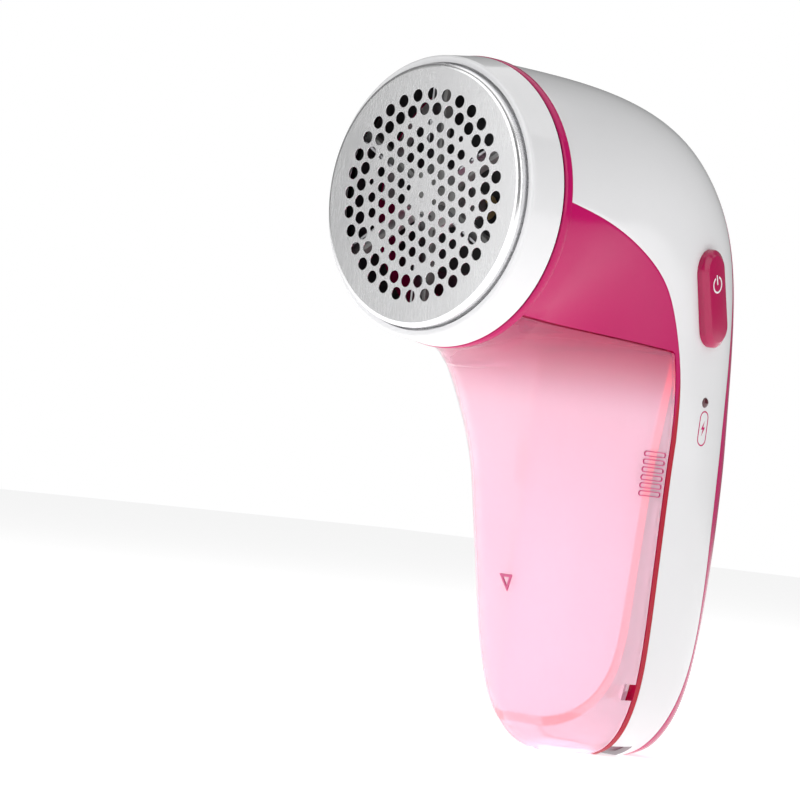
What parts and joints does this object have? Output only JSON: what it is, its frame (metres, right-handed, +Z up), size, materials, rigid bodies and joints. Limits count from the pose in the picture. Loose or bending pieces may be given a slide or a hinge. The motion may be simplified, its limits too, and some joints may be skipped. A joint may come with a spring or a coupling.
{
  "type": "fabric shaver",
  "caption": "Cordless fabric shaver: round perforated foil head on a curved neck, white handle body with slide switch, and a clear pink lint bin in front of the handle.",
  "frame": {"origin": "on the base, under the middle of the whole shaver standing upright", "axes": "+Z up the handle, -Y the way the cutting head faces, +X the side with the slide switch"},
  "size_m": [0.0624, 0.0959, 0.1466],
  "materials": {
    "blade_steel": "ground stainless steel",
    "board_green": "solder mask",
    "bronze": "sintered bronze",
    "cell_sleeve": "shrink sleeve",
    "copper": "bare copper alloy",
    "core_steel": "silicon steel laminations",
    "cutter_plastic": "natural white moulding",
    "dark_plastic": "black nylon",
    "foil_steel": "polished stainless foil",
    "inlet_plastic": "dark magenta plastic",
    "lamp_red": "dark red lens",
    "magenta_trim": "gloss magenta ABS",
    "magnet": "ferrite",
    "motor_steel": "plated drawn steel",
    "pink_clear": "clear pink tinted plastic, gloss",
    "switch_steel": "tinned switch case",
    "white_shell": "high gloss ABS, pure white",
    "zinc_steel": "zinc plated steel"
  },
  "bodies": {
    "housing": {"back_cover": "magenta_trim", "battery_cell": "cell_sleeve", "battery_cradle": "magenta_trim", "battery_tabs": "zinc_steel", "board_parts": "dark_plastic", "bulkhead": "dark_plastic", "charge_led": "lamp_red", "charging_inlet": "inlet_plastic", "circuit_board": "board_green", "head_collar": "magenta_trim", "housing_screws": "zinc_steel", "inlet_pins": "copper", "inner_frame": "magenta_trim", "led_lens": "lamp_red", "main_shell": "white_shell", "motor_bearings": "bronze", "motor_can": "motor_steel", "motor_end_cap": "dark_plastic", "motor_magnets": "magnet", "motor_screws": "zinc_steel", "motor_terminals": "copper", "slide_switch": "switch_steel"},
    "foil_head": {"lock_ring": "white_shell", "cutting_foil": "foil_steel", "foil_retainer": "white_shell"},
    "cutter": {"blade_holder": "cutter_plastic", "blade_spring": "zinc_steel", "blades": "blade_steel", "drive_coupler": "cutter_plastic", "motor_armature": "core_steel", "motor_commutator": "copper", "motor_shaft": "blade_steel", "motor_windings": "copper"},
    "bin": {"lint_bin": "pink_clear"},
    "slider": {"power_slider": "magenta_trim", "switch_knob": "dark_plastic"}
  },
  "joints": [
    {"name": "bin_pull", "type": "slide", "parent": "housing", "child": "bin", "axis": [0, 0, -1], "range_m": [0, 0.045]},
    {"name": "ring_twist", "type": "hinge", "parent": "housing", "child": "foil_head", "pos_m": [0, -0.04, 0.1153], "axis": [0, -1, 0], "range_deg": [0, 20]},
    {"name": "cutter_spin", "type": "hinge", "parent": "housing", "child": "cutter", "pos_m": [0, -0.03, 0.1153], "axis": [0, -1, 0], "continuous": true},
    {"name": "power_slide", "type": "slide", "parent": "housing", "child": "slider", "axis": [0.0803, -0.3327, 0.9396], "range_m": [0, 0.0035]}
  ]
}
